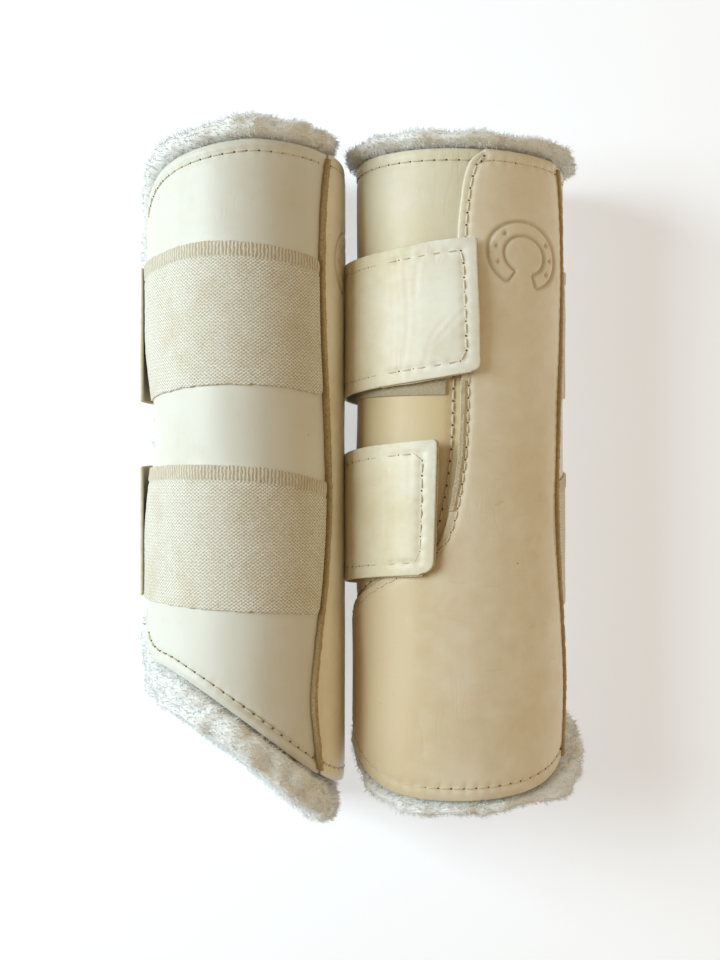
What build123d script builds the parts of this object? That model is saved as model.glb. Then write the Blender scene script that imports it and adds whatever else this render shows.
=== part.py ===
"""A pair of tendon boots for a horse's front legs, lying side by side on their front and outer faces.

Each boot is a leg tube cut open down its inner front: a soft front panel and a rear panel, joined under
a strike pad that covers the back tendon.  Two elastics run round the front panel and go on as straps.
The straps wrap the rear panel and their hook tape fastens on loop patches beside the strike pad.

Units are millimetres.  A boot is built upright in its own frame: Y runs along the leg, +Y is the top,
and a section of the boot is an ellipse in the XZ plane.  Angles go round that ellipse from +Z to +X.
The right boot is the left boot mirrored, rolled about Y and set down beside it.
"""
import os
from math import cos, pi, radians, sin, sqrt

from build123d import *

# ---- section of the boot: an ellipse through the outer face of the shell
SEMI_LONG = 50.0          # along Z
SEMI_SHORT = 41.5         # along X

# ---- where the two boots lie
LEFT_AXIS_X = -50.5
RIGHT_AXIS_X = 46.5
RIGHT_ROLL = 121.0        # degrees about +Y, after mirroring

# ---- layers, as offsets from the outer face of the shell
FLEECE_IN = -12.0
FOAM_IN = -5.0
SHELL_IN = -1.5
SHELL_OUT = 0.0
LOOP_OUT = 1.0
ELASTIC_OUT = 1.6
PLATE_IN = 0.3
PLATE_OUT = 1.3
PAD_OUT = 2.2
WELT_OUT = 2.4
HOOK_IN = 1.5
STRAP_IN = 2.8
STRAP_OUT = 4.4
EDGE_GAP = 0.3            # degrees or millimetres left free where two bodies meet
BEND_GAP = 0.25           # degrees left free each side of a strap's bend

# ---- angles round the section, in degrees
FREE_EDGE = -79.0         # front panel's free edge, where the straps start
FRONT_SEAM = 50.0         # strike pad's front edge, the line that the front panel hinges on
REAR_SEAM = 125.0         # strike pad's rear edge
REAR_EDGE = 272.5         # rear panel's free edge
PEEL_LINE = 166.0         # where a strap bends when its end is peeled
SIDE = 114.0              # middle of the strike pad: the boot reaches lowest there

# ---- heights along the leg
SHELL_TOP = 140.5
FLEECE_TOP = 149.5
FLEECE_HANG = {"left": 15.0, "right": 7.0}    # fleece below the shell's lower edge
UPPER_ELASTIC = (38.5, 97.5)
LOWER_ELASTIC = (-53.5, 5.0)
UPPER_PATCH = (37.0, 98.0)
LOWER_PATCH = (-42.0, 13.0)

# ---- straps: heights of the lower and upper edge at the free edge, then at the fastened end
STRAPS = {
    "upper": {"start": (36.0, 95.0), "end": (46.5, 102.5), "end_angle": 116.5, "hook_low": 49.0},
    "lower": {"start": (-50.5, 6.0), "end": (-39.0, 16.5), "end_angle": 139.0, "hook_low": -24.0},
}
HOOK_INSET = 5.0          # hook tape stops this far inside the strap's edges
HOOK_LAP = 8.0            # degrees of strap past the hook tape, the part that fingers lift
HOOK_CLEAR = 7.0          # degrees that the hook tape stays behind the strike pad
TAB_CLIP = {"upper": (4.0, 2.0), "lower": (4.0, 2.0)}     # corners cut off, lower then upper
TAB_CLIP_REACH = 12.0     # depth of the cut, past both faces of the strap

REACH = 200.0             # longer than any piece: used for cutting bodies
FAR = 90.0                # further out than any piece


def radius_pair(offset):
    """Semi-axes along X and Z of the ellipse at an offset from the shell."""
    return SEMI_SHORT + offset, SEMI_LONG + offset


def point_at(angle, offset):
    """The point (x, z) where a ray at this angle meets the ellipse at this offset."""
    across, along = radius_pair(offset)
    length = 1.0 / sqrt((sin(radians(angle)) / across) ** 2 + (cos(radians(angle)) / along) ** 2)
    return length * sin(radians(angle)), length * cos(radians(angle))


def wedge(start, stop):
    """Sketch of the sector between two angles, reaching past the boot."""
    steps = max(2, int((stop - start) // 40) + 1)
    rays = [radians(start + (stop - start) * i / steps) for i in range(steps + 1)]
    corners = [(0.0, 0.0)] + [(FAR * sin(ray), FAR * cos(ray)) for ray in rays]
    return Plane.XZ * Polygon(*corners, align=None)


def wall(inner, outer, start, stop, low=-REACH, high=REACH):
    """An elliptical wall between two offsets, two angles and two heights."""
    ring = Plane.XZ * (Ellipse(*radius_pair(outer)) - Ellipse(*radius_pair(inner)))
    band = extrude(ring & wedge(start, stop), amount=high - low)
    return Pos(0, high, 0) * band


def block(outline, toward, depth=FAR):
    """Cutting block: an outline drawn in XY (across, height), carried along Z to one side or both."""
    face = Polygon(*outline, align=None)
    if toward == 0:
        return extrude(face, amount=depth, both=True)
    return extrude(face, amount=depth * toward)


def side_block(outline, toward):
    """Cutting block: an outline drawn in ZY (Z, height), carried along X to one side."""
    plane = Plane(origin=(0, 0, 0), x_dir=(0, 0, 1), z_dir=(toward, 0, 0))
    flip = 1 if toward < 0 else -1
    corners = [(across, height * flip) for across, height in outline]
    return extrude(plane * Polygon(*corners, align=None), amount=FAR)


def rounded(corner, start, stop, steps=6):
    """Points of a quarter round that swaps a square corner for an arc from start to stop."""
    points = []
    for i in range(steps + 1):
        turn = pi / 2 * i / steps
        points.append((
            corner[0] + (start[0] - corner[0]) * (1 - sin(turn)) + (stop[0] - corner[0]) * (1 - cos(turn)),
            corner[1] + (start[1] - corner[1]) * (1 - sin(turn)) + (stop[1] - corner[1]) * (1 - cos(turn)),
        ))
    return points


def below_hem(drop=0.0):
    """Everything below the slanting lower edge: straight at the front, level under the strike pad."""
    slope_end = (10.0, -120.5 - drop)
    slope_start = (-62.0, -64.0 - drop)
    bend = (26.0, -132.0 - drop)
    level = (46.0, -136.5 - drop)
    profile = [slope_start, slope_end, bend, level, (FAR, level[1])]
    profile += [(FAR, -REACH), (-FAR, -REACH), (-FAR, slope_start[1])]
    return Rot(0, SIDE - 90.0, 0) * block(profile, 0)


def above_front_top():
    """The front panel's drooping top edge and the big round at its free corner."""
    droop = [(8.0, SHELL_TOP), (-10.0, 138.5), (-21.0, 136.6), (-30.0, 134.5), (-37.0, 130.5), (-FAR, 120.0)]
    droop += [(-FAR, REACH), (8.0, REACH)]
    corner = rounded((4.0, 134.0), (4.0, 112.0), (34.0, 134.0))
    corner += [(34.0, REACH), (-20.0, REACH), (-20.0, 112.0)]
    return [block(droop, 1), side_block(corner, -1)]


def below_front_corner():
    """The round at the front panel's lower free corner."""
    corner = rounded((4.0, -82.0), (4.0, -60.0), (28.0, -82.0))
    corner += [(28.0, -REACH), (-20.0, -REACH), (-20.0, -60.0)]
    return side_block(corner, -1)


def rear_corners():
    """The rounds at the rear panel's two free corners."""
    top = rounded((2.0, SHELL_TOP), (2.0, 116.0), (-26.0, SHELL_TOP))
    top += [(-26.0, REACH), (20.0, REACH), (20.0, 116.0)]
    low = rounded((2.0, -88.0), (2.0, -62.0), (-26.0, -88.0))
    low += [(-26.0, -REACH), (20.0, -REACH), (20.0, -62.0)]
    return [side_block(top, -1), side_block(low, -1)]


def trimmed(piece, cutters):
    """The piece with every cutting block taken off."""
    for cutter in cutters:
        piece = piece - cutter
    return piece


def pad_area():
    """The strike pad's outline: straight beside the tendon, cupped round the back of the joint below."""
    side = extrude(wedge(FRONT_SEAM + 0.5, 92.0), amount=REACH, both=True)
    outline = [(39.6, SHELL_TOP), (37.8, 136.5), (36.6, 129.5), (36.0, 119.0), (35.2, 25.0), (34.0, -8.0),
               (31.5, -22.0), (26.0, -32.0), (14.0, -42.0), (2.0, -49.0), (-16.0, -58.0), (-30.0, -68.0),
               (-36.0, -86.0), (-34.0, -REACH), (FAR, -REACH), (FAR, SHELL_TOP)]
    above = block([(-FAR, SHELL_TOP), (FAR, SHELL_TOP), (FAR, REACH), (-FAR, REACH)], 0)
    return side + block(outline, -1) - above


def strap_band(strap, inset=0.0):
    """The strap's run between its two slanting edges, round the back of the boot."""
    reach = SEMI_SHORT + STRAP_OUT + 4
    low, high = strap["start"]
    low_end, high_end = strap["end"]
    outline = [(-reach, low + inset), (reach, low_end + inset), (reach, high_end - inset), (-reach, high - inset)]
    return block(outline, 0)


def tab_corners(name, strap):
    """Diamond blocks that clip the two corners of a strap's fastened end."""
    angle = radians(strap["end_angle"])
    tip_x, tip_z = point_at(strap["end_angle"], STRAP_OUT)
    blocks = []
    for height, clip in zip(strap["end"], TAB_CLIP[name]):
        outward, across = (sin(angle), 0, cos(angle)), (cos(angle), 0, -sin(angle))
        face = Plane(origin=(tip_x, height, tip_z), x_dir=across, z_dir=outward)
        diamond = face * Rot(0, 0, 45) * Rectangle(clip * sqrt(2), clip * sqrt(2))
        blocks.append(extrude(diamond, amount=TAB_CLIP_REACH, both=True))
    return blocks


def boot_nodes(side):
    """Every piece of the left-handed boot, keyed by its name, in the boot's own frame."""
    hem = below_hem()
    soft_hem = below_hem(FLEECE_HANG[side])
    front_cut = [hem, below_front_corner()] + above_front_top()
    rear_cut = [hem] + rear_corners()
    pad = pad_area()
    nodes = {}
    front = (FREE_EDGE, FRONT_SEAM - EDGE_GAP)
    rear = (FRONT_SEAM + EDGE_GAP, REAR_EDGE)
    nodes["front_panel"] = trimmed(wall(SHELL_IN, SHELL_OUT, *front, high=SHELL_TOP), front_cut)
    nodes["rear_panel"] = trimmed(wall(SHELL_IN, SHELL_OUT, *rear, high=SHELL_TOP), rear_cut)
    plate = wall(PLATE_IN, PLATE_OUT, FRONT_SEAM + 5, 119.0, -118.0, 134.0)
    nodes["strike_plate"] = plate
    nodes["strike_pad"] = (wall(SHELL_OUT, PAD_OUT, FRONT_SEAM + 0.5, 236.0) & pad) - hem - plate
    nodes["front_foam"] = trimmed(wall(FOAM_IN, SHELL_IN, front[0] + 2, front[1], high=SHELL_TOP - 3), front_cut)
    nodes["rear_foam"] = trimmed(wall(FOAM_IN, SHELL_IN, rear[0], rear[1] - 2, high=SHELL_TOP - 3), rear_cut)
    nodes["front_fleece"] = trimmed(
        wall(FLEECE_IN, FOAM_IN, front[0] - 1, front[1], high=FLEECE_TOP),
        [soft_hem] + [Pos(0, FLEECE_TOP - SHELL_TOP, 0) * cut for cut in above_front_top()])
    nodes["rear_fleece"] = wall(FLEECE_IN, FOAM_IN, rear[0], rear[1] + 1, high=FLEECE_TOP) - soft_hem
    nodes["upper_elastic"] = wall(SHELL_OUT, ELASTIC_OUT, FREE_EDGE, FRONT_SEAM - 2.6, *UPPER_ELASTIC)
    nodes["lower_elastic"] = wall(SHELL_OUT, ELASTIC_OUT, FREE_EDGE, FRONT_SEAM - 2.6, *LOWER_ELASTIC)
    welt = wall(SHELL_OUT, WELT_OUT, FRONT_SEAM - 2.5, FRONT_SEAM - EDGE_GAP, -REACH, SHELL_TOP - 3)
    nodes["front_welt"] = welt - below_hem(-3.0)
    nodes["rear_welt"] = wall(PAD_OUT, PAD_OUT + 0.4, REAR_SEAM - 2.6, REAR_SEAM - 0.6, -20.0, 42.0)
    patch_start = REAR_SEAM + 3
    nodes["upper_loop_patch"] = wall(SHELL_OUT, LOOP_OUT, patch_start, REAR_EDGE - 4, *UPPER_PATCH) - pad
    nodes["lower_loop_patch"] = wall(SHELL_OUT, LOOP_OUT, patch_start, REAR_EDGE - 4, *LOWER_PATCH) - pad
    for name, strap in STRAPS.items():
        nodes.update(strap_nodes(name, strap))
    return nodes


def strap_nodes(name, strap):
    """One strap: its run from the free edge, its peeling end, and the hook tape on each of the two."""
    band = strap_band(strap)
    hook_band = strap_band(strap, HOOK_INSET)
    corners = tab_corners(name, strap)
    start = 360.0 + FREE_EDGE - 0.4
    end = strap["end_angle"]
    bend = PEEL_LINE
    base = wall(STRAP_IN, STRAP_OUT, bend + BEND_GAP, start) & band
    anchor = wall(LOOP_OUT + 0.5, STRAP_IN, start - 12, start) & band
    tab = trimmed(wall(STRAP_IN, STRAP_OUT, end, bend - BEND_GAP) & band, corners)
    base_hook = wall(HOOK_IN, STRAP_IN, bend + BEND_GAP, start - 14) & hook_band
    lap = max(end + HOOK_LAP, REAR_SEAM + HOOK_CLEAR)
    tab_hook = wall(HOOK_IN, STRAP_IN, lap, bend - BEND_GAP, low=strap["hook_low"]) & hook_band
    return {
        name + "_strap": base + anchor,
        name + "_strap_hook": base_hook,
        name + "_tab": tab,
        name + "_tab_hook": tab_hook,
    }


def half_height(offset, roll):
    """How far the ellipse at this offset reaches below its centre once it is rolled."""
    across, along = radius_pair(offset)
    return sqrt((along * cos(radians(roll))) ** 2 + (across * sin(radians(roll))) ** 2)


def placed():
    """All pieces of both boots where they lie, keyed by node name."""
    lifted = {
        "left": Pos(LEFT_AXIS_X, 0, half_height(STRAP_OUT, 0.0)),
        "right": Pos(RIGHT_AXIS_X, 0, half_height(ELASTIC_OUT, RIGHT_ROLL)) * Rot(0, RIGHT_ROLL, 0),
    }
    nodes = {}
    for side, place in lifted.items():
        for name, piece in boot_nodes(side).items():
            shape = mirror(piece, about=Plane.YZ) if side == "right" else piece
            nodes[side + "_" + name] = place * shape
    return nodes


def centred(nodes):
    """The nodes moved so that their common box stands on Z=0, centred on the origin, and the shift."""
    boxes = [shape.bounding_box() for shape in nodes.values()]
    low_x = min(box.min.X for box in boxes)
    high_x = max(box.max.X for box in boxes)
    low_y = min(box.min.Y for box in boxes)
    high_y = max(box.max.Y for box in boxes)
    low_z = min(box.min.Z for box in boxes)
    shift = (-(low_x + high_x) / 2, -(low_y + high_y) / 2, -low_z)
    return {name: Pos(*shift) * shape for name, shape in nodes.items()}, shift


nodes, shift = centred(placed())
os.makedirs("parts", exist_ok=True)
for name, shape in nodes.items():
    export_step(shape, "parts/" + name + ".step")
print("shift", [round(value, 3) for value in shift])
print("nodes", len(nodes))
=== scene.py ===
# %% [markdown]
# # A pair of tendon boots
#
# Tendon boots guard the back tendons of a horse's front legs. Each boot is a soft tube that is open down
# one edge: a coated-cloth shell, a curly fleece lining, a hard strike pad over the tendon, and two wide
# elastics that turn into straps and fasten with hook tape. Everything here is built round a fixed frame
# of plain solids. The frame says where each piece is and how it moves, and this file only gives the looks.

# %% Load the frame
import math

import bpy
import numpy as np
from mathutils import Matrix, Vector


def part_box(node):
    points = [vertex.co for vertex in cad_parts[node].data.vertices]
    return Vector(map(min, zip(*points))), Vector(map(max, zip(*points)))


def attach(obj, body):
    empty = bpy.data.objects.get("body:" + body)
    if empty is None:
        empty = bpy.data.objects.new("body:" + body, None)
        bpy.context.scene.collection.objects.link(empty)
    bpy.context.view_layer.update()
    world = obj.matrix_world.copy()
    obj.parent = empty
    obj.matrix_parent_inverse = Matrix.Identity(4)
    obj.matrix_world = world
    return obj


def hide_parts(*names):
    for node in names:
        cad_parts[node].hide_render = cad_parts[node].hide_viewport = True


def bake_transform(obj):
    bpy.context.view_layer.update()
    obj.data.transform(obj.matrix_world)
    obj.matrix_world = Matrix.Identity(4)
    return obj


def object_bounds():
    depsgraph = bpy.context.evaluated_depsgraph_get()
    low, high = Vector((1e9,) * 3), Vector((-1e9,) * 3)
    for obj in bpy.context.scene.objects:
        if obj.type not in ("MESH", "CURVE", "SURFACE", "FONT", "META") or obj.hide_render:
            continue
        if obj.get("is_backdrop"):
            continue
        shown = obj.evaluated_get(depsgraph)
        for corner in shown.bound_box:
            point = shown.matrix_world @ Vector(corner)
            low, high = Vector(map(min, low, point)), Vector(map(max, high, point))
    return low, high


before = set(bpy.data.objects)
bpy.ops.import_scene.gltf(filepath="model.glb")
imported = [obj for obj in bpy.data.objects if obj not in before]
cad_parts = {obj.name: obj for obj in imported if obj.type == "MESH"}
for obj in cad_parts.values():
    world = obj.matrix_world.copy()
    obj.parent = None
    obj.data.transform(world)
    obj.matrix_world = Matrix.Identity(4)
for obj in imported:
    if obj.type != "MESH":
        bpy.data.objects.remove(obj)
cad_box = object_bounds()
SIDES = ("left", "right")
STRAP_NAMES = ("upper", "lower")

# %% [markdown]
# ## The boot as wrapped cloth
#
# Cloth is easiest to plan flat, so every piece is drawn on a flat map and then wrapped. On the map, s runs
# round the boot and v runs along the leg, both in millimetres. The boot's section is an ellipse, so s is
# an arc length on it, and a table turns arc length into a place. An offset lifts a piece off the shell.

# %% Wrap flat cloth round the boot
MM = 0.001
SEMI_LONG, SEMI_SHORT = 50.0, 41.5
SHELL_TOP = 140.5
PAD_OUT = 2.2
ROLL = {"left": 0.0, "right": math.radians(121.0)}

turns = np.linspace(-2 * np.pi, 3 * np.pi, 6001)
speed = np.hypot(SEMI_SHORT * np.cos(turns), SEMI_LONG * np.sin(turns))
arcs = np.concatenate(([0.0], np.cumsum((speed[1:] + speed[:-1]) / 2 * np.diff(turns))))
arcs -= np.interp(0.0, turns, arcs)
AROUND = float(np.interp(2 * np.pi, turns, arcs))


def arc_at(degrees):
    """Arc length on the shell at an angle from the boot's top line."""
    angle = math.radians(degrees)
    turn = math.atan2(math.sin(angle) / SEMI_SHORT, math.cos(angle) / SEMI_LONG)
    turn += 2 * math.pi * round((angle - turn) / (2 * math.pi))
    return float(np.interp(turn, turns, arcs))


def reach(offset, roll, upward):
    """How far the rolled ellipse reaches up, or sideways, from its centre."""
    along, across = SEMI_LONG + offset, SEMI_SHORT + offset
    if upward:
        return math.hypot(along * math.cos(roll), across * math.sin(roll))
    return math.hypot(along * math.sin(roll), across * math.cos(roll))


def find_axis(side):
    """The middle of a boot's leg channel, in millimetres, read from the frame's solids."""
    shell_low, shell_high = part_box(side + "_rear_panel")
    pad_low, pad_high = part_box(side + "_strike_pad")
    y = shell_high.y / MM - SHELL_TOP
    if side == "left":
        return pad_high.x / MM - SEMI_SHORT - PAD_OUT, y, shell_low.z / MM + SEMI_LONG
    return (pad_low.x / MM + reach(PAD_OUT, ROLL[side], False), y,
            pad_high.z / MM - reach(PAD_OUT, ROLL[side], True))


AXIS = {side: find_axis(side) for side in SIDES}


def set_down(side, across, along, height):
    """Points or directions of the boot's own section, turned the way that this boot lies."""
    if side == "left":
        return across, height, along
    cos, sin = math.cos(ROLL[side]), math.sin(ROLL[side])
    return along * sin - across * cos, height, across * sin + along * cos


def facing(side, s):
    """Outward directions of the shell at arc lengths s."""
    turn = np.interp(s, arcs, turns)
    across, along = np.sin(turn) / SEMI_SHORT, np.cos(turn) / SEMI_LONG
    size = np.hypot(across, along)
    x, y, z = set_down(side, across / size, along / size, np.zeros_like(turn))
    return np.stack([x, y, z], axis=-1)


def wrap(side, s, v, offset):
    """Places, in metres, of flat points (s, v) lifted by an offset."""
    s, v, offset = np.broadcast_arrays(np.asarray(s, float), np.asarray(v, float), np.asarray(offset, float))
    turn = np.interp(s, arcs, turns)
    x, y, z = set_down(side, SEMI_SHORT * np.sin(turn), SEMI_LONG * np.cos(turn), v)
    centre = np.array(AXIS[side])
    return (np.stack([x, y, z], axis=-1) + centre + facing(side, s) * offset[..., None]) * MM


print("one turn of shell is", round(AROUND, 1), "mm")
print("axes", {side: [round(c, 1) for c in place] for side, place in AXIS.items()})

# %% [markdown]
# ## The cutting pattern
#
# A saddler cuts the boot from a pattern, and so does this file. Each outline is a short list of points with
# a smooth line through them, or a formula. The lower edge slants: it is short in front, so that the joint
# can bend, and long at the back, where the strike pad cups it.

# %% Outlines of the pattern
FREE_EDGE = arc_at(-79.0)
HINGE = arc_at(49.7)
REAR_EDGE = arc_at(272.5)
PEEL_LINE = arc_at(166.0)
PAD_TIP = 192.0
CUP_START = 108.0
CUP_TOP = -28.0
FLEECE_TOP = 149.5
FLEECE_HANG = {"left": 17.0, "right": 7.0}


def smooth(points):
    """A smooth line through a few points, as a function of the first coordinate."""
    x, y = np.array(points, float).T
    slope = np.gradient(y, x)

    def line(at):
        at = np.clip(at, x[0], x[-1])
        i = np.clip(np.searchsorted(x, at) - 1, 0, len(x) - 2)
        gap = x[i + 1] - x[i]
        t = (at - x[i]) / gap
        return ((1 + 2 * t) * (1 - t) ** 2 * y[i] + t * (1 - t) ** 2 * gap * slope[i]
                + t * t * (3 - 2 * t) * y[i + 1] + t * t * (t - 1) * gap * slope[i + 1])
    return line


def rounded(distance, radius, drop):
    """How far a rounded corner falls away at a distance from the side edge."""
    t = np.clip(1 - distance / radius, 0, 1)
    return drop * (1 - np.sqrt(1 - t * t))


def hem(s):
    """The shell's lower edge: level under the strike pad, then a straight slant up to the front."""
    turn = np.interp(s, arcs, turns)
    side_on = math.radians(114.0)
    depth = SEMI_SHORT * np.sin(turn) * math.sin(side_on) + SEMI_LONG * np.cos(turn) * math.cos(side_on)
    return -137.0 + 0.785 * 8.0 * np.log1p(np.exp((31.0 - depth) / 8.0))


front_seam = smooth([(-137, 41), (-118, 38.5), (-91, 35.5), (-69, 38.5), (-42, 43.5), (-10, 46.5), (24, 44.8),
                     (60, 42), (100, 41), (125, 43), (141, 46)])
rear_seam = smooth([(-28, 108), (-21, 105), (-8.5, 102), (4, 100), (42, 98), (119, 98), (129.4, 96.3),
                    (136.7, 93), (140.5, 88)])
cup = smooth([(108, -28), (120, -36.5), (131.6, -42.5), (146, -50), (163, -58), (176, -65.5), (185, -73.5),
              (192, -84)])


def front_low(s):
    return hem(s) + rounded(s - FREE_EDGE, 22.0, 20.0)


def front_high(s):
    droop = 5.5 * np.clip((8.0 - s) / 41.0, 0, None) ** 1.2
    return SHELL_TOP - droop - rounded(s - FREE_EDGE, 28.0, 22.0)


def rear_low(s):
    return hem(s) + rounded(REAR_EDGE - s, 26.0, 22.0)


def rear_high(s):
    return SHELL_TOP - rounded(REAR_EDGE - s, 26.0, 24.0)


# %% [markdown]
# ## From pattern to mesh
#
# A piece of cloth is two skins over one grid of flat points, with a rounded rim between them. The grid is
# finer near the edges, because that is where cloth rolls over. `slab` makes one closed mesh from flat
# points, quads and two offsets, and writes down what the finishes need: the flat place of each point as a
# UV map, its distance from the cut edge, and which skin it is on.

# %% Grids and slabs
def spaced(start, stop, step, fine=(0.35, 0.9, 1.7)):
    """Values from start to stop, a step apart, with a few closer ones at both ends."""
    count = max(2, int(round((stop - start - 2 * fine[-1]) / step)))
    inner = np.linspace(start + fine[-1], stop - fine[-1], count + 1)
    ends = np.array(fine[:-1])
    return np.concatenate(([start], start + ends, inner, stop - ends[::-1], [stop]))


def grid_quads(rows, columns, first=0):
    """Quads over a grid of points that is stored row by row."""
    index = first + np.arange(rows * columns).reshape(rows, columns)
    return np.stack([index[:-1, :-1], index[:-1, 1:], index[1:, 1:], index[1:, :-1]], axis=-1).reshape(-1, 4)


def as_line(value):
    """A number as a line that has it everywhere; a line as it is."""
    return value if callable(value) else lambda at: np.full_like(np.asarray(at, float), value)


def curtain(left, right, low, high, step, fine=(0.35, 0.9, 1.7)):
    """Flat points between two side lines (s over v) and two level lines (v over s), as a grid."""
    left, right, low, high = (as_line(side_line) for side_line in (left, right, low, high))
    probe = np.linspace(float(left(0.0)), float(right(0.0)), 9)
    tall, wide = float(np.max(high(probe) - low(probe))), float(right(0.0) - left(0.0))
    up = (spaced(0.0, tall, step, fine) / tall)[:, None]
    across = (spaced(0.0, wide, step, fine) / wide)[None, :]
    s = np.broadcast_to(left(0.0) + across * wide, (up.size, across.size))
    for _ in range(6):
        v = low(s) + up * (high(s) - low(s))
        s = left(v) + across * (right(v) - left(v))
    return np.stack([s, v], axis=-1), grid_quads(*s.shape)


def rim_of(quads):
    """The directed edges that only one quad uses: the outline of the piece."""
    edges = np.concatenate([quads[:, [i, (i + 1) % 4]] for i in range(4)])
    seen = {(int(a), int(b)) for a, b in edges}
    return np.array([(a, b) for a, b in seen if (b, a) not in seen])


def edge_distance(flat, outline):
    """Distance of each flat point from the nearest outline point."""
    best = np.full(len(flat), 1e9)
    rim = flat[np.unique(outline)]
    for start in range(0, len(rim), 64):
        away = flat[:, None, :] - rim[None, start:start + 64, :]
        best = np.minimum(best, np.sqrt((away ** 2).sum(-1)).min(1))
    return best


def make_mesh(name, places, faces, side="left"):
    """A smooth-shaded object at the origin. Faces of the mirrored boot are turned so that they look out."""
    if side == "right":
        faces = [tuple(reversed(face)) for face in faces]
    mesh = bpy.data.meshes.new(name)
    mesh.from_pydata([tuple(p) for p in places], [], [tuple(int(i) for i in f) for f in faces])
    mesh.shade_smooth()
    piece = bpy.data.objects.new(name, mesh)
    bpy.context.scene.collection.objects.link(piece)
    return piece


def write_values(mesh, name, values):
    mesh.attributes.new(name, "FLOAT", "POINT").data.foreach_set("value", np.asarray(values, np.float32))


def slab(name, side, flat, quads, outer, inner, bulge=0.6, rings=3, cut=None):
    """A closed piece of cloth between two offsets over flat points, with a round rim, square at s = cut."""
    flat = flat.reshape(-1, 2)
    count = len(flat)
    outer = np.broadcast_to(outer, (count,)).astype(float)
    inner = np.broadcast_to(inner, (count,)).astype(float)
    rim = rim_of(quads)
    out = np.zeros((count, 2))
    for a, b in rim:
        along = flat[b] - flat[a]
        normal = np.array([along[1], -along[0]]) / max(1e-9, np.hypot(*along))
        out[a] += normal
        out[b] += normal
    rim_points = np.unique(rim)
    out[rim_points] /= np.maximum(1e-9, np.hypot(*out[rim_points].T))[:, None]
    square = np.zeros(count, bool) if cut is None else np.abs(flat[:, 0] - cut) < 0.01
    out[square] = 0.0
    place_of = {int(p): i for i, p in enumerate(rim_points)}
    half, middle = (outer - inner) / 2, (outer + inner) / 2
    flats, offsets, skins = [flat, flat], [outer, inner], [np.zeros(count), np.ones(count)]
    for ring in range(1, rings + 1):
        turn = math.pi * ring / (rings + 1)
        lift = middle[rim_points] + half[rim_points] * math.cos(turn)
        flats.append(flat[rim_points] + out[rim_points] * bulge * math.sin(turn))
        offsets.append(lift)
        skins.append(np.full(len(rim_points), ring / (rings + 1)))
    faces = [tuple(q) for q in quads] + [tuple(q[::-1] + count) for q in quads]

    def ring_index(ring, point):
        if ring == 0:
            return point
        if ring > rings:
            return point + count
        return 2 * count + (ring - 1) * len(rim_points) + place_of[point]
    for a, b in ((int(a), int(b)) for a, b in rim):
        for ring in range(rings + 1):
            faces.append((ring_index(ring, b), ring_index(ring, a),
                          ring_index(ring + 1, a), ring_index(ring + 1, b)))
    flats, offsets = np.concatenate(flats), np.concatenate(offsets)
    piece = make_mesh(name, wrap(side, flats[:, 0], flats[:, 1], offsets), faces, side)
    mesh = piece.data
    if cut is not None:
        keen = np.concatenate([square, square, np.zeros(rings * len(rim_points), bool)])
        keen = [bool(keen[e.vertices[0]] and keen[e.vertices[1]]) for e in mesh.edges]
        mesh.attributes.new("sharp_edge", "BOOLEAN", "EDGE").data.foreach_set("value", keen)
    edge = edge_distance(flat, rim[~(square[rim[:, 0]] & square[rim[:, 1]])])
    write_values(mesh, "edge", np.concatenate([edge, edge, np.zeros(rings * len(rim_points))]))
    write_values(mesh, "skin", np.concatenate(skins))
    uv = mesh.uv_layers.new(name="cloth")
    corner = np.zeros(len(mesh.loops), np.int32)
    mesh.loops.foreach_get("vertex_index", corner)
    uv.data.foreach_set("uv", (flats[corner] * MM).astype(np.float32).ravel())
    return piece


# %% [markdown]
# ## Soft relief
#
# Nothing sewn is smooth. `waves` is a seeded noise over the flat map for slow dents, and `beside` measures
# how far each point is from a row of stitches and how far along it, so that the cloth can sink under the
# thread and pucker at each hole.

# %% Relief of cloth
PITCH = 5.2


def waves(s, v, size, seed, stretch=1.0):
    """Smooth seeded noise from -1 to 1, with bumps about size mm wide; stretch makes them longer along v."""
    lattice = np.random.default_rng(seed).uniform(-1, 1, (128, 128))
    x, y = np.asarray(s) / size + 57.3, np.asarray(v) / (size * stretch) + 61.7
    i, j = np.floor(x).astype(int), np.floor(y).astype(int)
    a, b = x - i, y - j
    a, b = a * a * (3 - 2 * a), b * b * (3 - 2 * b)

    def at(di, dj):
        return lattice[(i + di) % 128, (j + dj) % 128]
    return (at(0, 0) * (1 - a) + at(1, 0) * a) * (1 - b) + (at(0, 1) * (1 - a) + at(1, 1) * a) * b


def evenly(path, gap):
    """Points a fixed gap apart along a flat path."""
    path = np.asarray(path, float)
    run = np.concatenate(([0.0], np.cumsum(np.hypot(*np.diff(path, axis=0).T))))
    at = np.linspace(0.0, run[-1], max(2, int(round(run[-1] / gap)) + 1))
    return np.stack([np.interp(at, run, path[:, 0]), np.interp(at, run, path[:, 1])], axis=-1)


def beside(flat, path):
    """Distance from a flat path, and the length along it of the nearest place."""
    dense = evenly(path, 0.8)
    run = np.concatenate(([0.0], np.cumsum(np.hypot(*np.diff(dense, axis=0).T))))
    away, nearest = np.full(len(flat), 1e9), np.zeros(len(flat), int)
    for start in range(0, len(dense), 64):
        part = np.sqrt(((flat[:, None, :] - dense[None, start:start + 64, :]) ** 2).sum(-1))
        pick = part.argmin(1)
        value = part[np.arange(len(flat)), pick]
        better = value < away
        away[better], nearest[better] = value[better], pick[better] + start
    return away, run[nearest]


def ease(share):
    """A smooth step from 0 to 1."""
    share = np.clip(share, 0, 1)
    return share * share * (3 - 2 * share)


EDGE_LIFT = {"left": 3.8, "right": 0.6}


def edge_lift(side, s, v):
    """How far the front panel's free edge stands away. The right boot lies on it, so there it stays close."""
    return EDGE_LIFT[side] * ease((-34.0 - s) / 30.0) * (1 - np.exp(-((v - 22.0) / 27.0) ** 2))


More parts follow.
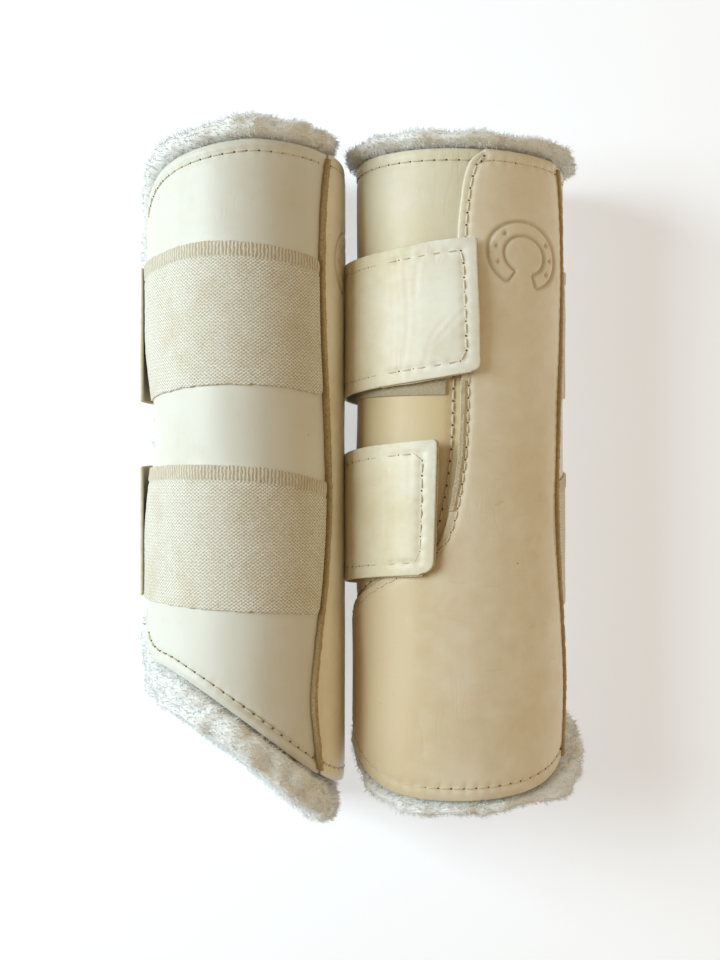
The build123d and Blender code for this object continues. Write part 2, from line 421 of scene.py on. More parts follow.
def sewn(flat, path, depth=0.45, width=1.3, pucker=0.35, pitch=PITCH):
    """How far cloth sinks beside a row of stitches, deepest at the holes."""
    away, run = beside(flat, path)
    hole = np.cos(np.pi * run / pitch) ** 4
    return -(depth * np.exp(-(away / width) ** 2) + pucker * hole * np.exp(-(away / (1.7 * width)) ** 2))


# %% [markdown]
# ## Finishes as arithmetic
#
# A procedural finish is mostly arithmetic on a few fields: the flat place, noise, the distance from an
# edge. `Field` wraps a node's socket and overloads the operators, so a line such as `1 - worn * 0.3` adds
# the Math nodes. `Finish` starts a material and hands out noise, mixes and bumps.

# %% A small language for shader nodes
class Field:
    """A number that varies over the surface; arithmetic on it adds Math nodes."""

    def __init__(self, net, socket):
        self.net = net
        self.socket = socket

    def math(self, operation, first, second=None, clamp=False):
        inputs = {0: first} if second is None else {0: first, 1: second}
        return self.net.node("ShaderNodeMath", {"operation": operation, "use_clamp": clamp}, inputs)

    def sin(self):
        return self.math("SINE", self)

    def abs(self):
        return self.math("ABSOLUTE", self)

    def over(self, low, high):
        """0 at low, 1 at high, and a straight line between."""
        return self.net.node("ShaderNodeMapRange", {"clamp": True}, {0: self, 1: low, 2: high})


def overload(name, operation):
    """Gives Field one arithmetic operator and its reflected form."""
    setattr(Field, f"__{name}__", lambda self, other: self.math(operation, self, other))
    setattr(Field, f"__r{name}__", lambda self, other: self.math(operation, other, self))


for name, operation in (("add", "ADD"), ("sub", "SUBTRACT"), ("mul", "MULTIPLY"), ("truediv", "DIVIDE")):
    overload(name, operation)


class Finish:
    """A material in the making."""

    def __init__(self, name, **constants):
        self.material = bpy.data.materials.new(name)
        self.material.use_nodes = True
        self.nodes = self.material.node_tree.nodes
        self.links = self.material.node_tree.links
        self.shader = self.nodes["Principled BSDF"]
        for socket, value in constants.items():
            self.shader.inputs[socket.replace("_", " ")].default_value = value

    def put(self, socket, value):
        """Feeds a socket with a field, a colour or a number."""
        if isinstance(value, Field):
            self.links.new(value.socket, socket)
        elif isinstance(value, (tuple, list)) and len(socket.default_value) == 4 and len(value) == 3:
            socket.default_value = (*value, 1.0)
        else:
            socket.default_value = value

    def node(self, kind, settings=None, inputs=None, out=0):
        """Any node, from its type, its settings and the values or links of its sockets."""
        node = self.nodes.new(kind)
        for key, value in (settings or {}).items():
            setattr(node, key, value)
        for key, value in (inputs or {}).items():
            self.put(node.inputs[key], value)
        return Field(self, node.outputs[out])

    def ramp(self, field, stops):
        """A colour ramp: stops are (position, colour)."""
        wired = self.node("ShaderNodeValToRGB", inputs={0: field})
        band = wired.socket.node.color_ramp
        while len(band.elements) < len(stops):
            band.elements.new(0.5)
        for element, (position, colour) in zip(band.elements, stops):
            element.position, element.color = position, (*colour, 1.0)
        return wired

    def mix(self, factor, first, second, blend="MIX"):
        """Two colours mixed by a field."""
        return self.node("ShaderNodeMix", {"data_type": "RGBA", "blend_type": blend, "clamp_factor": True},
                         {0: factor, 6: first, 7: second}, out=2)

    def flat_map(self):
        """The flat place (s, v) in millimetres, as a vector."""
        uv = self.node("ShaderNodeUVMap", {"uv_map": "cloth"})
        return self.node("ShaderNodeVectorMath", {"operation": "SCALE"}, {0: uv, "Scale": 1000.0})

    def space(self):
        """The place in the object, in millimetres."""
        place = self.node("ShaderNodeTexCoord", out=3)
        return self.node("ShaderNodeVectorMath", {"operation": "SCALE"}, {0: place, "Scale": 1000.0})

    def stretched(self, vector, x, y, z=1.0):
        return self.node("ShaderNodeVectorMath", {"operation": "MULTIPLY"}, {0: vector, 1: (x, y, z)})

    def parts(self, vector):
        """The two flat coordinates as separate fields."""
        split = self.nodes.new("ShaderNodeSeparateXYZ")
        self.links.new(vector.socket, split.inputs[0])
        return Field(self, split.outputs[0]), Field(self, split.outputs[1])

    def noise(self, vector, size, detail=3.0, rough=0.55, warp=0.0):
        """Noise from 0 to 1 with features about size mm wide."""
        return self.node("ShaderNodeTexNoise", {"normalize": True},
                         {"Vector": vector, "Scale": 1.0 / size, "Detail": detail, "Roughness": rough,
                          "Distortion": warp})

    def cells(self, vector, size, feature="F1"):
        return self.node("ShaderNodeTexVoronoi", {"feature": feature},
                         {"Vector": vector, "Scale": 1.0 / size})

    def value(self, name):
        """A value stored on the mesh's points."""
        return self.node("ShaderNodeAttribute", {"attribute_name": name}, out=2)

    def bump(self, height, depth_mm, under=None):
        """A bump of this many millimetres, on top of another one."""
        inputs = {"Height": height, "Distance": depth_mm * MM, "Strength": 1.0}
        if under is not None:
            inputs["Normal"] = under
        return self.node("ShaderNodeBump", inputs=inputs)

    def done(self, colour=None, roughness=None, normal=None):
        for name, value in (("Base Color", colour), ("Roughness", roughness), ("Normal", normal)):
            if value is not None:
                self.put(self.shader.inputs[name], value)
        return self.material


# %% [markdown]
# ## Coated cloth
#
# The shell, the strike pad and the straps are cloth with a soft plastic coat. When new it is white. With
# age it yellows in clouds, picks up scuffs, specks and rubbed lines, and creases across the folds. The
# creases are tinted with painted shade, and a ramp round the boot is partly yellowing and partly painted
# shade. The same recipe serves all three, with a different tint and other creases.

# %% Coated-cloth finishes
def coated_cloth(name, clean, aged, yellowing, crease_mm, scuffs=0.5, low_age=0.0, yellowing_and_shade_round=0.0):
    """Soft plastic-coated cloth: clouds of yellowing, scuffs, specks, fine grain, creases along the leg
    tinted with painted shade, and a ramp round the boot of yellowing and painted shade.
    """
    f = Finish(name, Specular_IOR_Level=0.42, Coat_Weight=0.06, Coat_Roughness=0.35)
    flat = f.flat_map()
    clouds = f.noise(flat, 42.0, 3.0, 0.6, 0.4)
    mottle = f.noise(flat, 7.0, 4.0, 0.65)
    around, height = f.parts(flat)
    # Yellowing grows towards the bottom of the leg. A ramp round the boot, from s = 96 to 126, adds the aged
    # tint; it is partly yellowing and partly painted shade, darker and warmer where the boot turns away from
    # the light and whiter at the tab tips that catch it.
    lower = (1 - height.over(25.0, 120.0)) * low_age + around.over(96.0, 126.0) * yellowing_and_shade_round
    age_and_shade = (clouds * 0.75 + mottle * 0.35 - 0.55 + yellowing + lower).over(0.0, 0.6)
    colour = f.mix(age_and_shade, clean, aged)
    edge = f.value("edge")
    grime = (1 - edge.over(0.0, 3.2)) * f.noise(flat, 3.0, 3.0).over(0.35, 0.75)
    colour = f.mix(grime * 0.25, colour, (0.45, 0.36, 0.23))
    rubs = f.noise(f.stretched(flat, 0.16, 1.0), 2.4, 4.0, 0.7, 0.6).over(0.61, 0.76)
    patches = f.noise(flat, 24.0, 2.0).over(0.50, 0.68)
    colour = f.mix(rubs * patches * scuffs, colour, (0.47, 0.36, 0.22))
    specks = 1 - f.cells(flat, 17.0).over(0.012, 0.030)
    colour = f.mix(specks * 0.75, colour, (0.20, 0.14, 0.08))
    smears = f.noise(f.stretched(flat, 0.6, 1.0), 15.0, 2.0, 0.5, 1.0).over(0.64, 0.80)
    colour = f.mix(smears * 0.22, colour, (0.78, 0.50, 0.38))
    colour = f.mix(f.value("press") * 0.5, colour, (0.42, 0.31, 0.17))
    backing = f.value("skin").over(0.45, 0.8)
    colour = f.mix(backing, colour, (0.50, 0.44, 0.33))
    folds = f.noise(f.stretched(flat, 1.0, 0.16), 7.0, 2.0, 0.5, 0.9)
    creases = 1 - (folds - 0.5).abs().over(0.0, 0.045)
    where = f.noise(flat, 30.0, 2.0).over(0.50, 0.72)
    # The crease lines are tinted darker: this is painted shade in the creases.
    colour = f.mix(creases * where * 0.07, colour, (0.50, 0.40, 0.27))
    grain = f.noise(flat, 0.55, 2.0, 0.6)
    normal = f.bump(grain, 0.035)
    normal = f.bump(creases * where, -crease_mm, normal)
    normal = f.bump(rubs * patches, -0.05, normal)
    rough = 0.40 + mottle * 0.16 + rubs * patches * 0.2 + backing * 0.3
    return f.done(colour, rough, normal)


FINISHES = {
    "shell_vinyl": coated_cloth("shell_vinyl", (0.75, 0.76, 0.71), (0.67, 0.62, 0.49), 0.02, 0.07, 0.12),
    "aged_vinyl": coated_cloth("aged_vinyl", (0.81, 0.78, 0.64), (0.73, 0.61, 0.39), 0.04, 0.06, 0.2, 0.8),
    "pad_vinyl": coated_cloth("pad_vinyl", (0.90, 0.86, 0.73), (0.74, 0.62, 0.42), 0.04, 0.05, 0.60,
                              low_age=0.10, yellowing_and_shade_round=0.6),
    "strap_vinyl": coated_cloth("strap_vinyl", (0.95, 0.98, 0.93), (0.76, 0.68, 0.48), -0.10, 0.07, 0.10,
                                yellowing_and_shade_round=0.55),
}
print("coated cloth:", ", ".join(FINISHES))

# %% [markdown]
# ## Elastic, loop tape and raw edges
#
# The elastic is a close weave of rubber and cotton: staggered beads of yarn about a millimetre apart, with
# a flat ribbed border at the top edge. Loop tape is a felt of tiny loops. Raw edges are the brown cut core
# of the cloth, fluffy and dirty.

# %% Woven and raw finishes
def woven_elastic():
    f = Finish("elastic", Roughness=0.85, Specular_IOR_Level=0.2, Sheen_Weight=0.25, Sheen_Roughness=0.5)
    flat = f.flat_map()
    s, v = f.parts(flat)
    jitter = f.noise(flat, 2.2, 2.0)
    slub = f.noise(f.stretched(flat, 1.0, 0.35), 0.8, 2.0, 0.7)
    across = (s * (math.pi / 0.95) + jitter * 4.0).sin()
    along = (v * (math.pi / 0.72) + jitter * 3.2).sin()
    bead = (across * along * 0.5 + 0.5) * 0.75 + slub * 0.35
    border = f.value("border")
    rib = ((s * (math.pi / 0.75) + jitter * 6.0).sin() * 0.25 + 0.25) + slub * 0.5
    weave = bead * (1 - border) + rib * border
    stain = f.noise(flat, 19.0, 3.0, 0.6, 0.5).over(0.46, 0.72)
    spots = f.noise(flat, 6.0, 2.0).over(0.62, 0.78)
    yarn = f.mix(stain * 0.5, (0.93, 0.94, 0.88), (0.76, 0.67, 0.50))
    yarn = f.mix(spots * 0.35, yarn, (0.62, 0.42, 0.22))
    yarn = f.mix(border * 0.45, yarn, (0.58, 0.49, 0.34))
    row = (v * (2 * math.pi / 1.44)).sin() * 0.5 + 0.5
    # Dark brown where the weave is low, between the beads of yarn: painted shade in the hollows of the weave.
    colour = f.mix((1 - weave).over(0.30, 0.80) * 0.72, yarn, (0.34, 0.28, 0.18))
    colour = f.mix(row * (1 - border) * 0.18, colour, (0.36, 0.30, 0.20))
    normal = f.bump(weave, 0.32)
    fuzz = f.noise(flat, 0.35, 2.0, 0.7)
    normal = f.bump(fuzz, 0.10, normal)
    return f.done(colour, None, normal)


def brushed_loops():
    f = Finish("loop_tape", Roughness=0.95, Specular_IOR_Level=0.15, Sheen_Weight=0.3, Sheen_Roughness=0.6)
    flat = f.flat_map()
    tangle = f.noise(flat, 0.7, 4.0, 0.75, 1.5)
    dirt = f.noise(flat, 8.0, 3.0).over(0.4, 0.7)
    colour = f.mix(tangle.over(0.35, 0.7), (0.45, 0.38, 0.25), (0.70, 0.65, 0.50))
    colour = f.mix(dirt * 0.4, colour, (0.48, 0.39, 0.24))
    return f.done(colour, None, f.bump(tangle, 0.4))


def cut_core(name, light, dark):
    f = Finish(name, Roughness=0.9, Specular_IOR_Level=0.2)
    space = f.space()
    fray = f.noise(space, 0.9, 4.0, 0.75, 0.8)
    colour = f.mix(fray.over(0.3, 0.7), dark, light)
    return f.done(colour, None, f.bump(fray, 0.35))


def hook_rows():
    f = Finish("hook_tape", Roughness=0.6, Specular_IOR_Level=0.4)
    across, along = f.parts(f.space())
    hooks = (across * (math.pi / 0.7)).sin().abs() * (along * (math.pi / 0.7)).sin().abs()
    # The dark between the hooks follows the low parts of the same hook bump: painted shade between the hooks.
    colour = f.mix(hooks, (0.36, 0.35, 0.31), (0.66, 0.65, 0.60))
    return f.done(colour, None, f.bump(hooks, 0.5))


def spun_thread():
    f = Finish("thread", Roughness=0.7, Specular_IOR_Level=0.3)
    hole = f.value("hole")
    twist = f.noise(f.space(), 0.8, 2.0)
    colour = f.mix(twist, (0.66, 0.60, 0.46), (0.78, 0.75, 0.64))
    # The balls at the stitch holes turn near black: this is painted shade, standing for the shadow inside
    # each hole.
    return f.done(f.mix(hole, colour, (0.13, 0.09, 0.055)))


def curly_fleece():
    f = Finish("fleece", Roughness=0.95, Specular_IOR_Level=0.1, Sheen_Weight=1.0, Sheen_Roughness=0.5)
    f.shader.inputs["Sheen Tint"].default_value = (0.86, 0.94, 1.0, 1.0)
    space = f.space()
    tone = f.noise(space, 9.0, 3.0, 0.6)
    lock = f.noise(space, 2.2, 4.0, 0.7, 1.0)
    colour = f.mix(tone.over(0.35, 0.68), (0.95, 0.98, 1.0), (0.93, 0.95, 0.95))
    # Grey in the hollows between the locks, keyed to the low parts of the lock bump: painted shade.
    colour = f.mix((1 - lock.over(0.28, 0.50)) * 0.10, colour, (0.74, 0.73, 0.69))
    curl = f.noise(space, 4.2, 3.0, 0.6, 0.8)
    return f.done(colour, None, f.bump(lock, 0.15, f.bump(curl, 0.4)))


FINISHES.update({
    "elastic": woven_elastic(),
    "loop_tape": brushed_loops(),
    "hook_tape": hook_rows(),
    "thread": spun_thread(),
    "raw_edge": cut_core("raw_edge", (0.62, 0.50, 0.31), (0.36, 0.25, 0.12)),
    "pale_edge": cut_core("pale_edge", (0.80, 0.76, 0.62), (0.50, 0.42, 0.28)),
    "foam": cut_core("foam", (0.74, 0.72, 0.64), (0.62, 0.58, 0.48)),
    "hard_plate": cut_core("hard_plate", (0.82, 0.82, 0.79), (0.74, 0.74, 0.70)),
    "fleece": curly_fleece(),
})
print("finishes:", len(FINISHES))


def dress(piece, finish, body=None, stands_for=()):
    """Gives a piece its finish, its body and the CAD nodes that it stands for."""
    piece.data.materials.append(FINISHES[finish])
    if body:
        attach(piece, body)
    if stands_for:
        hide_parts(*stands_for)
    return piece


# %% [markdown]
# ## Rows of stitches
#
# The rows are planned on the flat map first, because the cloth has to sink under them. They are sewn at
# the end, one mesh for each body.

# %% Plan the stitch rows
rows = {}


def sew(side, body, path, offset, pitch=PITCH):
    """Remembers a row of stitches for later: its side, flat path, offset and pitch."""
    rows.setdefault(side + "_" + body, []).append((side, np.asarray(path, float), offset, pitch))
    return path


def line(start, stop, count, v_of):
    s = np.linspace(start, stop, count)
    return np.stack([s, v_of(s)], axis=-1)


TOP_INSET = 4.2
HEM_INSET = 4.8
PAD_INSET = 2.6
front_top_row = line(FREE_EDGE + 5, 40.0, 60, lambda s: front_high(s) - TOP_INSET)
front_hem_row = line(FREE_EDGE + 5, 36.0, 60, lambda s: front_low(s) + HEM_INSET)
rear_top_row = line(94.0, REAR_EDGE - 5, 60, lambda s: rear_high(s) - TOP_INSET)


def rear_row(inset, low, high):
    v = np.linspace(high, low, 60)
    return np.stack([rear_seam(v) + inset, v], axis=-1)


pad_rear_row = np.concatenate([rear_row(-PAD_INSET, CUP_TOP, 138.0),
                               line(CUP_START, PAD_TIP - 4, 60, lambda s: cup(s) - PAD_INSET)])
outer_rear_row = np.concatenate([rear_row(3.6, CUP_TOP, 44.0),
                                 line(CUP_START + 2, PAD_TIP - 6, 50, lambda s: cup(s) + 3.6)])
pad_hem_row = line(41.0, PAD_TIP - 5, 100, lambda s: hem(s) + HEM_INSET)
pad_top_row = line(47.5, 90.0, 30, lambda s: SHELL_TOP - TOP_INSET - rounded(93 - s, 9.0, 3.0))
down_seam = np.linspace(138, -128, 120)
front_seam_row = np.stack([front_seam(down_seam) + PAD_INSET, down_seam], axis=-1)
rear_row_length = float(np.hypot(*np.diff(pad_rear_row, axis=0).T).sum())
print("a boot's pad has", round(rear_row_length / PITCH), "rear stitches")

# %% [markdown]
# ## The front panel and the rear panel
#
# Both are curtains: columns round the boot, cut at the top and bottom lines. The front panel's last column
# is pulled to the curved seam beside the strike pad. The panel bends at that seam when the boot is opened.

# %% Shell panels
SHELL_IN = -1.5
FOAM_OUT, FOAM_IN = -1.7, -4.8


def bend(piece, side, first, second, at, start, stop):
    """Bakes the piece's placement into its mesh; the piece does not bend. The bodies first and second are not
    used.
    """
    ends = wrap(side, np.array([at + start, at + stop]), 0.0, 0.0)
    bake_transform(piece)


def rolled(*distances):
    """The soft roll of a turned edge, between the edge and its row of stitches."""
    return sum(0.6 * np.exp(-((d - 2.2) / 1.5) ** 2) for d in distances)


def front_shell(side):
    flat, quads = curtain(FREE_EDGE, front_seam, front_low, front_high, 1.5)
    flat = flat.reshape(-1, 2)
    s, v = flat.T
    relief = 0.35 * waves(s, v, 26, 3) + 0.12 * waves(s, v, 9, 4, 2.0) + rolled(
        v - front_low(s), front_high(s) - v)
    lift_at = lambda x, y: edge_lift(side, x, y)
    relief += sewn(flat, sew(side, "front", front_top_row, lift_at))
    relief += sewn(flat, sew(side, "front", front_hem_row, lift_at))
    lift = edge_lift(side, s, v)
    piece = slab(side + "_front_shell", side, flat, quads, relief + lift, SHELL_IN + lift, 0.8)
    dress(piece, "shell_vinyl", None, [side + "_front_panel"])
    bend(piece, side, "boot", "front", HINGE, 4.0, -6.0)


def front_padding(side):
    """The thin foam between shell and fleece. It is soft."""
    flat, quads = curtain(FREE_EDGE + 2.0, lambda v: front_seam(v) - 0.3, lambda s: front_low(s) + 1.0,
                          lambda s: front_high(s) - 3.0, 3.0)
    lift = edge_lift(side, *flat.reshape(-1, 2).T)
    piece = slab(side + "_front_padding", side, flat, quads, FOAM_OUT + lift, FOAM_IN + lift)
    dress(piece, "foam", None, [side + "_front_foam"])
    bend(piece, side, "boot", "front", HINGE, 4.0, -6.0)


def rear_shell(side):
    flat, quads = curtain(84.0, REAR_EDGE, rear_low, rear_high, 1.6)
    flat = flat.reshape(-1, 2)
    s, v = flat.T
    relief = 0.3 * waves(s, v, 24, 5) + 0.12 * waves(s, v, 8, 6, 2.0) - 0.5 * (s < 90)
    relief += rolled(v - rear_low(s), rear_high(s) - v)
    relief += sewn(flat, sew(side, "boot", rear_top_row, 0.0))
    relief += sewn(flat, sew(side, "boot", outer_rear_row, 0.0), 0.6, 1.8)
    piece = slab(side + "_rear_shell", side, flat, quads, relief, SHELL_IN, 0.8)
    dress(piece, "aged_vinyl", side + "_boot", [side + "_rear_panel"])


for side in SIDES:
    front_padding(side)
    front_shell(side)
    rear_shell(side)

# %% [markdown]
# ## The strike pad
#
# The strike pad is a second layer over the back tendon, with a hard plate sewn in between. Its outline is
# an L: a tall strip, and a foot that cups round the back of the joint. So it is two grids that share a row.
# A plain horseshoe is pressed into it near the top. The grid is denser there, and the press is real
# relief, with dirt in its lines.

# %% Strike pad with a pressed horseshoe
MARK = (69.0, 97.0)
MARK_WIDE, MARK_TALL = 19.5, 15.0


def horseshoe(s, v):
    """How deep a point lies in the lines of the mark, from 0 to 1."""
    turn = math.radians(7.0)
    x, y = s - MARK[0], v - MARK[1]
    x, y = x * math.cos(turn) + y * math.sin(turn), y * math.cos(turn) - x * math.sin(turn)
    a, b = x / MARK_WIDE, y / MARK_TALL
    r, angle = np.hypot(a, b), np.degrees(np.arctan2(a, b))
    open_at = 180 - np.abs(angle)
    in_shoe = np.clip((open_at - 22) / 4, 0, 1)
    outer = np.exp(-((r - 0.96) * MARK_TALL / 0.7) ** 2) * in_shoe
    inner = np.exp(-((r - 0.56) * MARK_TALL / 0.7) ** 2) * in_shoe
    ends = np.exp(-((open_at - 24) * 0.24 / 0.7) ** 2) * ((r > 0.56) & (r < 0.96))
    holes = np.zeros_like(s)
    for at in (-118, -84, -50, 50, 84, 118):
        nail_x = 0.76 * MARK_WIDE * math.sin(math.radians(at))
        nail_y = 0.76 * MARK_TALL * math.cos(math.radians(at))
        holes = np.maximum(holes, np.exp(-(((x - nail_x) / 1.0) ** 2 + ((y - nail_y) / 1.0) ** 2)))
    return np.maximum.reduce([outer, inner, ends, holes])


def graded(stops):
    """Values from part to part, each part (end, step) with its own step."""
    values = [stops[0][0]]
    for (start, _), (stop, step) in zip(stops, stops[1:]):
        values += list(np.linspace(start, stop, max(2, round(abs(stop - start) / step) + 1))[1:])
    return np.array(values)


def pad_grid():
    """Flat points of the L-shaped pad, and its quads."""
    narrow = spaced(0.0, 1.0, 0.011, (0.006, 0.016, 0.03))
    cupped = graded([(CUP_START, 0), (188.0, 1.4), (191.1, 0.8), (PAD_TIP, 0.35)])[1:]
    share = graded([(0.0, 0), (0.004, 0.004), (0.02, 0.008), (1.0, 0.0125)])
    seam = lambda v: front_seam(v) + 0.8
    foot_s = np.concatenate([narrow * (CUP_START - 42.0) + 42.0, cupped])
    top = np.where(foot_s <= CUP_START, CUP_TOP, cup(foot_s))
    near = len(narrow)
    s = np.broadcast_to(foot_s, (len(share), len(foot_s))).copy()
    for _ in range(6):
        low = hem(s) + rounded(PAD_TIP - s, 12.0, 4.0)
        v = low + share[:, None] * (top - low)
        s[:, :near] = seam(v[:, :near]) + narrow * (CUP_START - seam(v[:, :near]))
    foot = np.stack([s, v], axis=-1)
    rows_up = graded([(CUP_TOP, 0), (78.0, 1.25), (116.0, 0.6), (138.8, 1.2), (140.1, 0.5),
                      (SHELL_TOP, 0.4)])[1:]
    v = np.broadcast_to(rows_up[:, None], (len(rows_up), near))
    s = seam(v) + narrow * (rear_seam(v) - seam(v))
    strip = np.stack([s, v], axis=-1)
    index = np.arange(foot.shape[0] * foot.shape[1]).reshape(foot.shape[:2])
    first = index.size
    above = first + np.arange(strip.shape[0] * near).reshape(-1, near)
    joined = np.vstack([index[-1:, :near], above])
    quads = [np.stack([g[:-1, :-1], g[:-1, 1:], g[1:, 1:], g[1:, :-1]], -1).reshape(-1, 4)
             for g in (index, joined)]
    return np.concatenate([foot.reshape(-1, 2), strip.reshape(-1, 2)]), np.concatenate(quads)


def strike_pad(side):
    flat, quads = pad_grid()
    s, v = flat.T
    edge = edge_distance(flat, rim_of(quads))
    swell = 1 - np.clip(edge / 5.0, 0, 1)
    press = horseshoe(s, v)
    relief = 0.3 * waves(s, v, 30, 7) + 0.12 * waves(s, v, 7, 8, 2.5) - 0.7 * swell ** 2 - 1.15 * press
    for row in (pad_rear_row, pad_hem_row, pad_top_row):
        relief += sewn(flat, sew(side, "boot", row, PAD_OUT - 0.3))
    relief += sewn(flat, front_seam_row, 0.35, 1.4, 0.25)
    piece = slab(side + "_strike_pad_cover", side, flat, quads, PAD_OUT + relief, 0.1, 0.7)
    count = len(piece.data.vertices)
    write_values(piece.data, "press", np.concatenate([press, press, np.zeros(count - 2 * len(press))]))
    dress(piece, "pad_vinyl", side + "_boot", [side + "_strike_pad"])


for side in SIDES:
    strike_pad(side)

# %% [markdown]
# ## Fleece
#
# The lining is thick curly fleece that stands past the shell all round and folds a little over the shell's
# edges. Its body is a thick slab with lumps, so that it is soft from far away, and short locks of hair
# stand on it where it shows.

# %% Fleece linings
FLEECE_IN, FLEECE_OUT = -12.0, -5.0


def lie_on_floor(mesh, least):
    """Flattens what would sink into the floor, because fleece gives way there. least is in metres."""
    places = np.zeros(3 * len(mesh.vertices), np.float32)
    mesh.vertices.foreach_get("co", places)
    places[2::3] = np.maximum(places[2::3], least)
    mesh.vertices.foreach_set("co", places)
    mesh.update()


def pressed_by_straps(v):
    """1 where nothing presses on the fleece's edge, 0 under a strap or an elastic."""
    free = np.ones_like(v)
    for low, high in ((34.0, 88.0), (-58.0, 11.0)):
        free = np.minimum(free, np.clip(np.maximum(low - v, v - high) / 5.0, 0, 1))
    return free


def fleece(side, part):
    front = part == "front"
    hang = FLEECE_HANG[side]
    seed = 21 if front else 22
    ruffle = lambda s, amount: amount * (waves(s, 0 * s, 9.0, seed) + 0.4 * waves(s, 0 * s, 3.6, seed + 4))
    low_line = front_low if front else rear_low
    high_line = front_high if front else rear_high
    more = 5.0 if side == "right" else 0.0
    low = lambda s: low_line(s) - hang + 1.0 + ruffle(s, 1.6) - more * ease((62 - s) / 20)
    high = lambda s: high_line(s) + (FLEECE_TOP - SHELL_TOP) - 0.6 - 0.5 * more + ruffle(s + 40, 1.3)
    left = FREE_EDGE - 3.8 if front else HINGE + 0.4
    right = HINGE if front else REAR_EDGE + 1.6
    flat, quads = curtain(left, right, low, high, 1.55, (0.7, 1.5, 2.6))
    flat = flat.reshape(-1, 2)
    s, v = flat.T
    free_side = (FREE_EDGE - s) if front else (s - REAR_EDGE)
    over = np.maximum(v - high_line(s), low_line(s) - v)
    beyond = np.maximum(over, np.where(pressed_by_straps(v) > 0.5, free_side + 0.8, -9))
    flare = np.clip((beyond - 0.8) / 3.2, 0, 1)
    flare = flare * flare * (3 - 2 * flare)
    room = np.where(over > 0, 1.0, pressed_by_straps(v))
    if side == "left":
        room *= 1 - 0.75 * np.exp(-((s - 80.0) / 26.0) ** 2)
    else:
        room *= 1 + 0.5 * ease((v - 100) / 20) + 0.9 * ease((62 - s) / 20) * ease((-100 - v) / 20)
    lumps = (1.5 * waves(s, v, 7.5, seed + 1) + 0.7 * waves(s, v, 3.6, seed + 2)
             + 0.35 * waves(s, v, 1.9, seed + 3))
    lift = edge_lift(side, s, v) if front else 0.0
    outer = FLEECE_OUT + flare * room * 6.8 + lumps * (0.25 + 0.95 * flare)
    outer = np.where(beyond < 0.8, np.minimum(outer, FLEECE_OUT + 0.4), outer) + lift
    inner = FLEECE_IN + 0.9 * lumps + 1.2 * flare + lift
    piece = slab(side + "_" + part + "_lining", side, flat, quads, outer, inner, 2.2)
    lie_on_floor(piece.data, 0.0004)
    count = len(piece.data.vertices)
    shown = np.clip(0.25 + flare, 0, 1)
    write_values(piece.data, "shown", np.concatenate([np.where(flare > 0.02, 1.0, 0.0), 0.3 * shown,
                                                      np.ones(count - 2 * len(s))]))
    dress(piece, "fleece", None if front else side + "_boot", [side + "_" + part + "_fleece"])
    if front:
        bend(piece, side, "boot", "front", HINGE, 4.0, -6.0)
    print(piece.name, len(piece.data.polygons), "faces")
    return piece


linings = {(side, part): fleece(side, part) for side in SIDES for part in ("front", "rear")}

# %% [markdown]
# ## Elastics, loop patches and straps
#
# Each elastic is sewn in at the strike pad's front seam, crosses the front panel, and goes on past the free
# edge as a coated strap. The strap wraps the rear panel and its end is the tab that fingers lift. The strap
# turns at the free edge and the tab peels at a line behind the hook tape.

# %% Elastics and loop patches
ELASTIC_EDGES = {
    "upper": (smooth([(-66, 35.5), (-40, 37.5), (-15, 39.5), (12, 39.5), (42, 36.5)]),
              smooth([(-66, 94.5), (-40, 97), (-12, 98.5), (12, 97), (42, 93.5)])),
    "lower": (smooth([(-66, -52), (-20, -53), (12, -54.5), (42, -57.5)]),
              smooth([(-66, 5), (-20, 6), (12, 4.5), (42, -1)])),
}
PATCH = {"upper": (36.5, 98.0), "lower": (-42.0, 13.0)}
BAND_BOW = 2.7


def elastic(side, name):
    low, high = ELASTIC_EDGES[name]
    ragged = lambda s: 0.35 * waves(s, 0 * s, 2.2, 31) + 0.2 * waves(s, 0 * s, 0.9, 32)
    right = lambda v: front_seam(v) - 2.6 - rounded(v - low(38), 3.0, 2.0) - rounded(high(38) - v, 3.0, 2.0)
    flat, quads = curtain(FREE_EDGE, right, lambda s: low(s) + ragged(s),
                          lambda s: high(s) + 0.6 * ragged(s + 9), 0.9)
    flat = flat.reshape(-1, 2)
    s, v = flat.T
    outer = 1.35 + 0.2 * waves(s, v, 14, 33) + 0.10 * waves(s, v, 2.5, 34, 0.5)
    selvedge = np.clip((v - high(s) + 6.2) / 0.8, 0, 1)
    outer = outer - 0.45 * np.exp(-((v - high(s) + 6.2) / 0.7) ** 2) + 0.25 * selvedge
    lift = edge_lift(side, s, v)
    piece = slab(side + "_" + name + "_elastic_band", side, flat, quads, outer + lift, 0.25 + lift, 0.4)
    count = len(piece.data.vertices)
    write_values(piece.data, "border", np.concatenate([selvedge, selvedge, np.zeros(count - 2 * len(s))]))
    dress(piece, "elastic", None, [side + "_" + name + "_elastic"])
    bend(piece, side, "boot", "front", HINGE, 4.0, -6.0)
    v = np.linspace(high(38.0) - 2, low(38.0) + 2, 20)
    sew(side, "front", np.stack([front_seam(v) - 4.4, v], axis=-1), 1.2)


def loop_patch(side, name):
    low, high = PATCH[name]
    start = (lambda v: rear_seam(v) + 7.0) if name == "upper" else CUP_START + 6.0
    above_cup = lambda s: np.maximum(low, np.where(s > CUP_START, cup(s), CUP_TOP) + 1.0)
    bottom = low if name == "upper" else above_cup
    flat, quads = curtain(start, arc_at(268.5), bottom, high, 1.6)
    flat = flat.reshape(-1, 2)
    s, v = flat.T
    outer = 0.85 + 0.15 * waves(s, v, 9, 35) + 0.1 * waves(s, v, 1.8, 36)
    piece = slab(side + "_" + name + "_loop_cloth", side, flat, quads, outer, -0.2, 0.4)
    dress(piece, "loop_tape", side + "_boot", [side + "_" + name + "_loop_patch"])


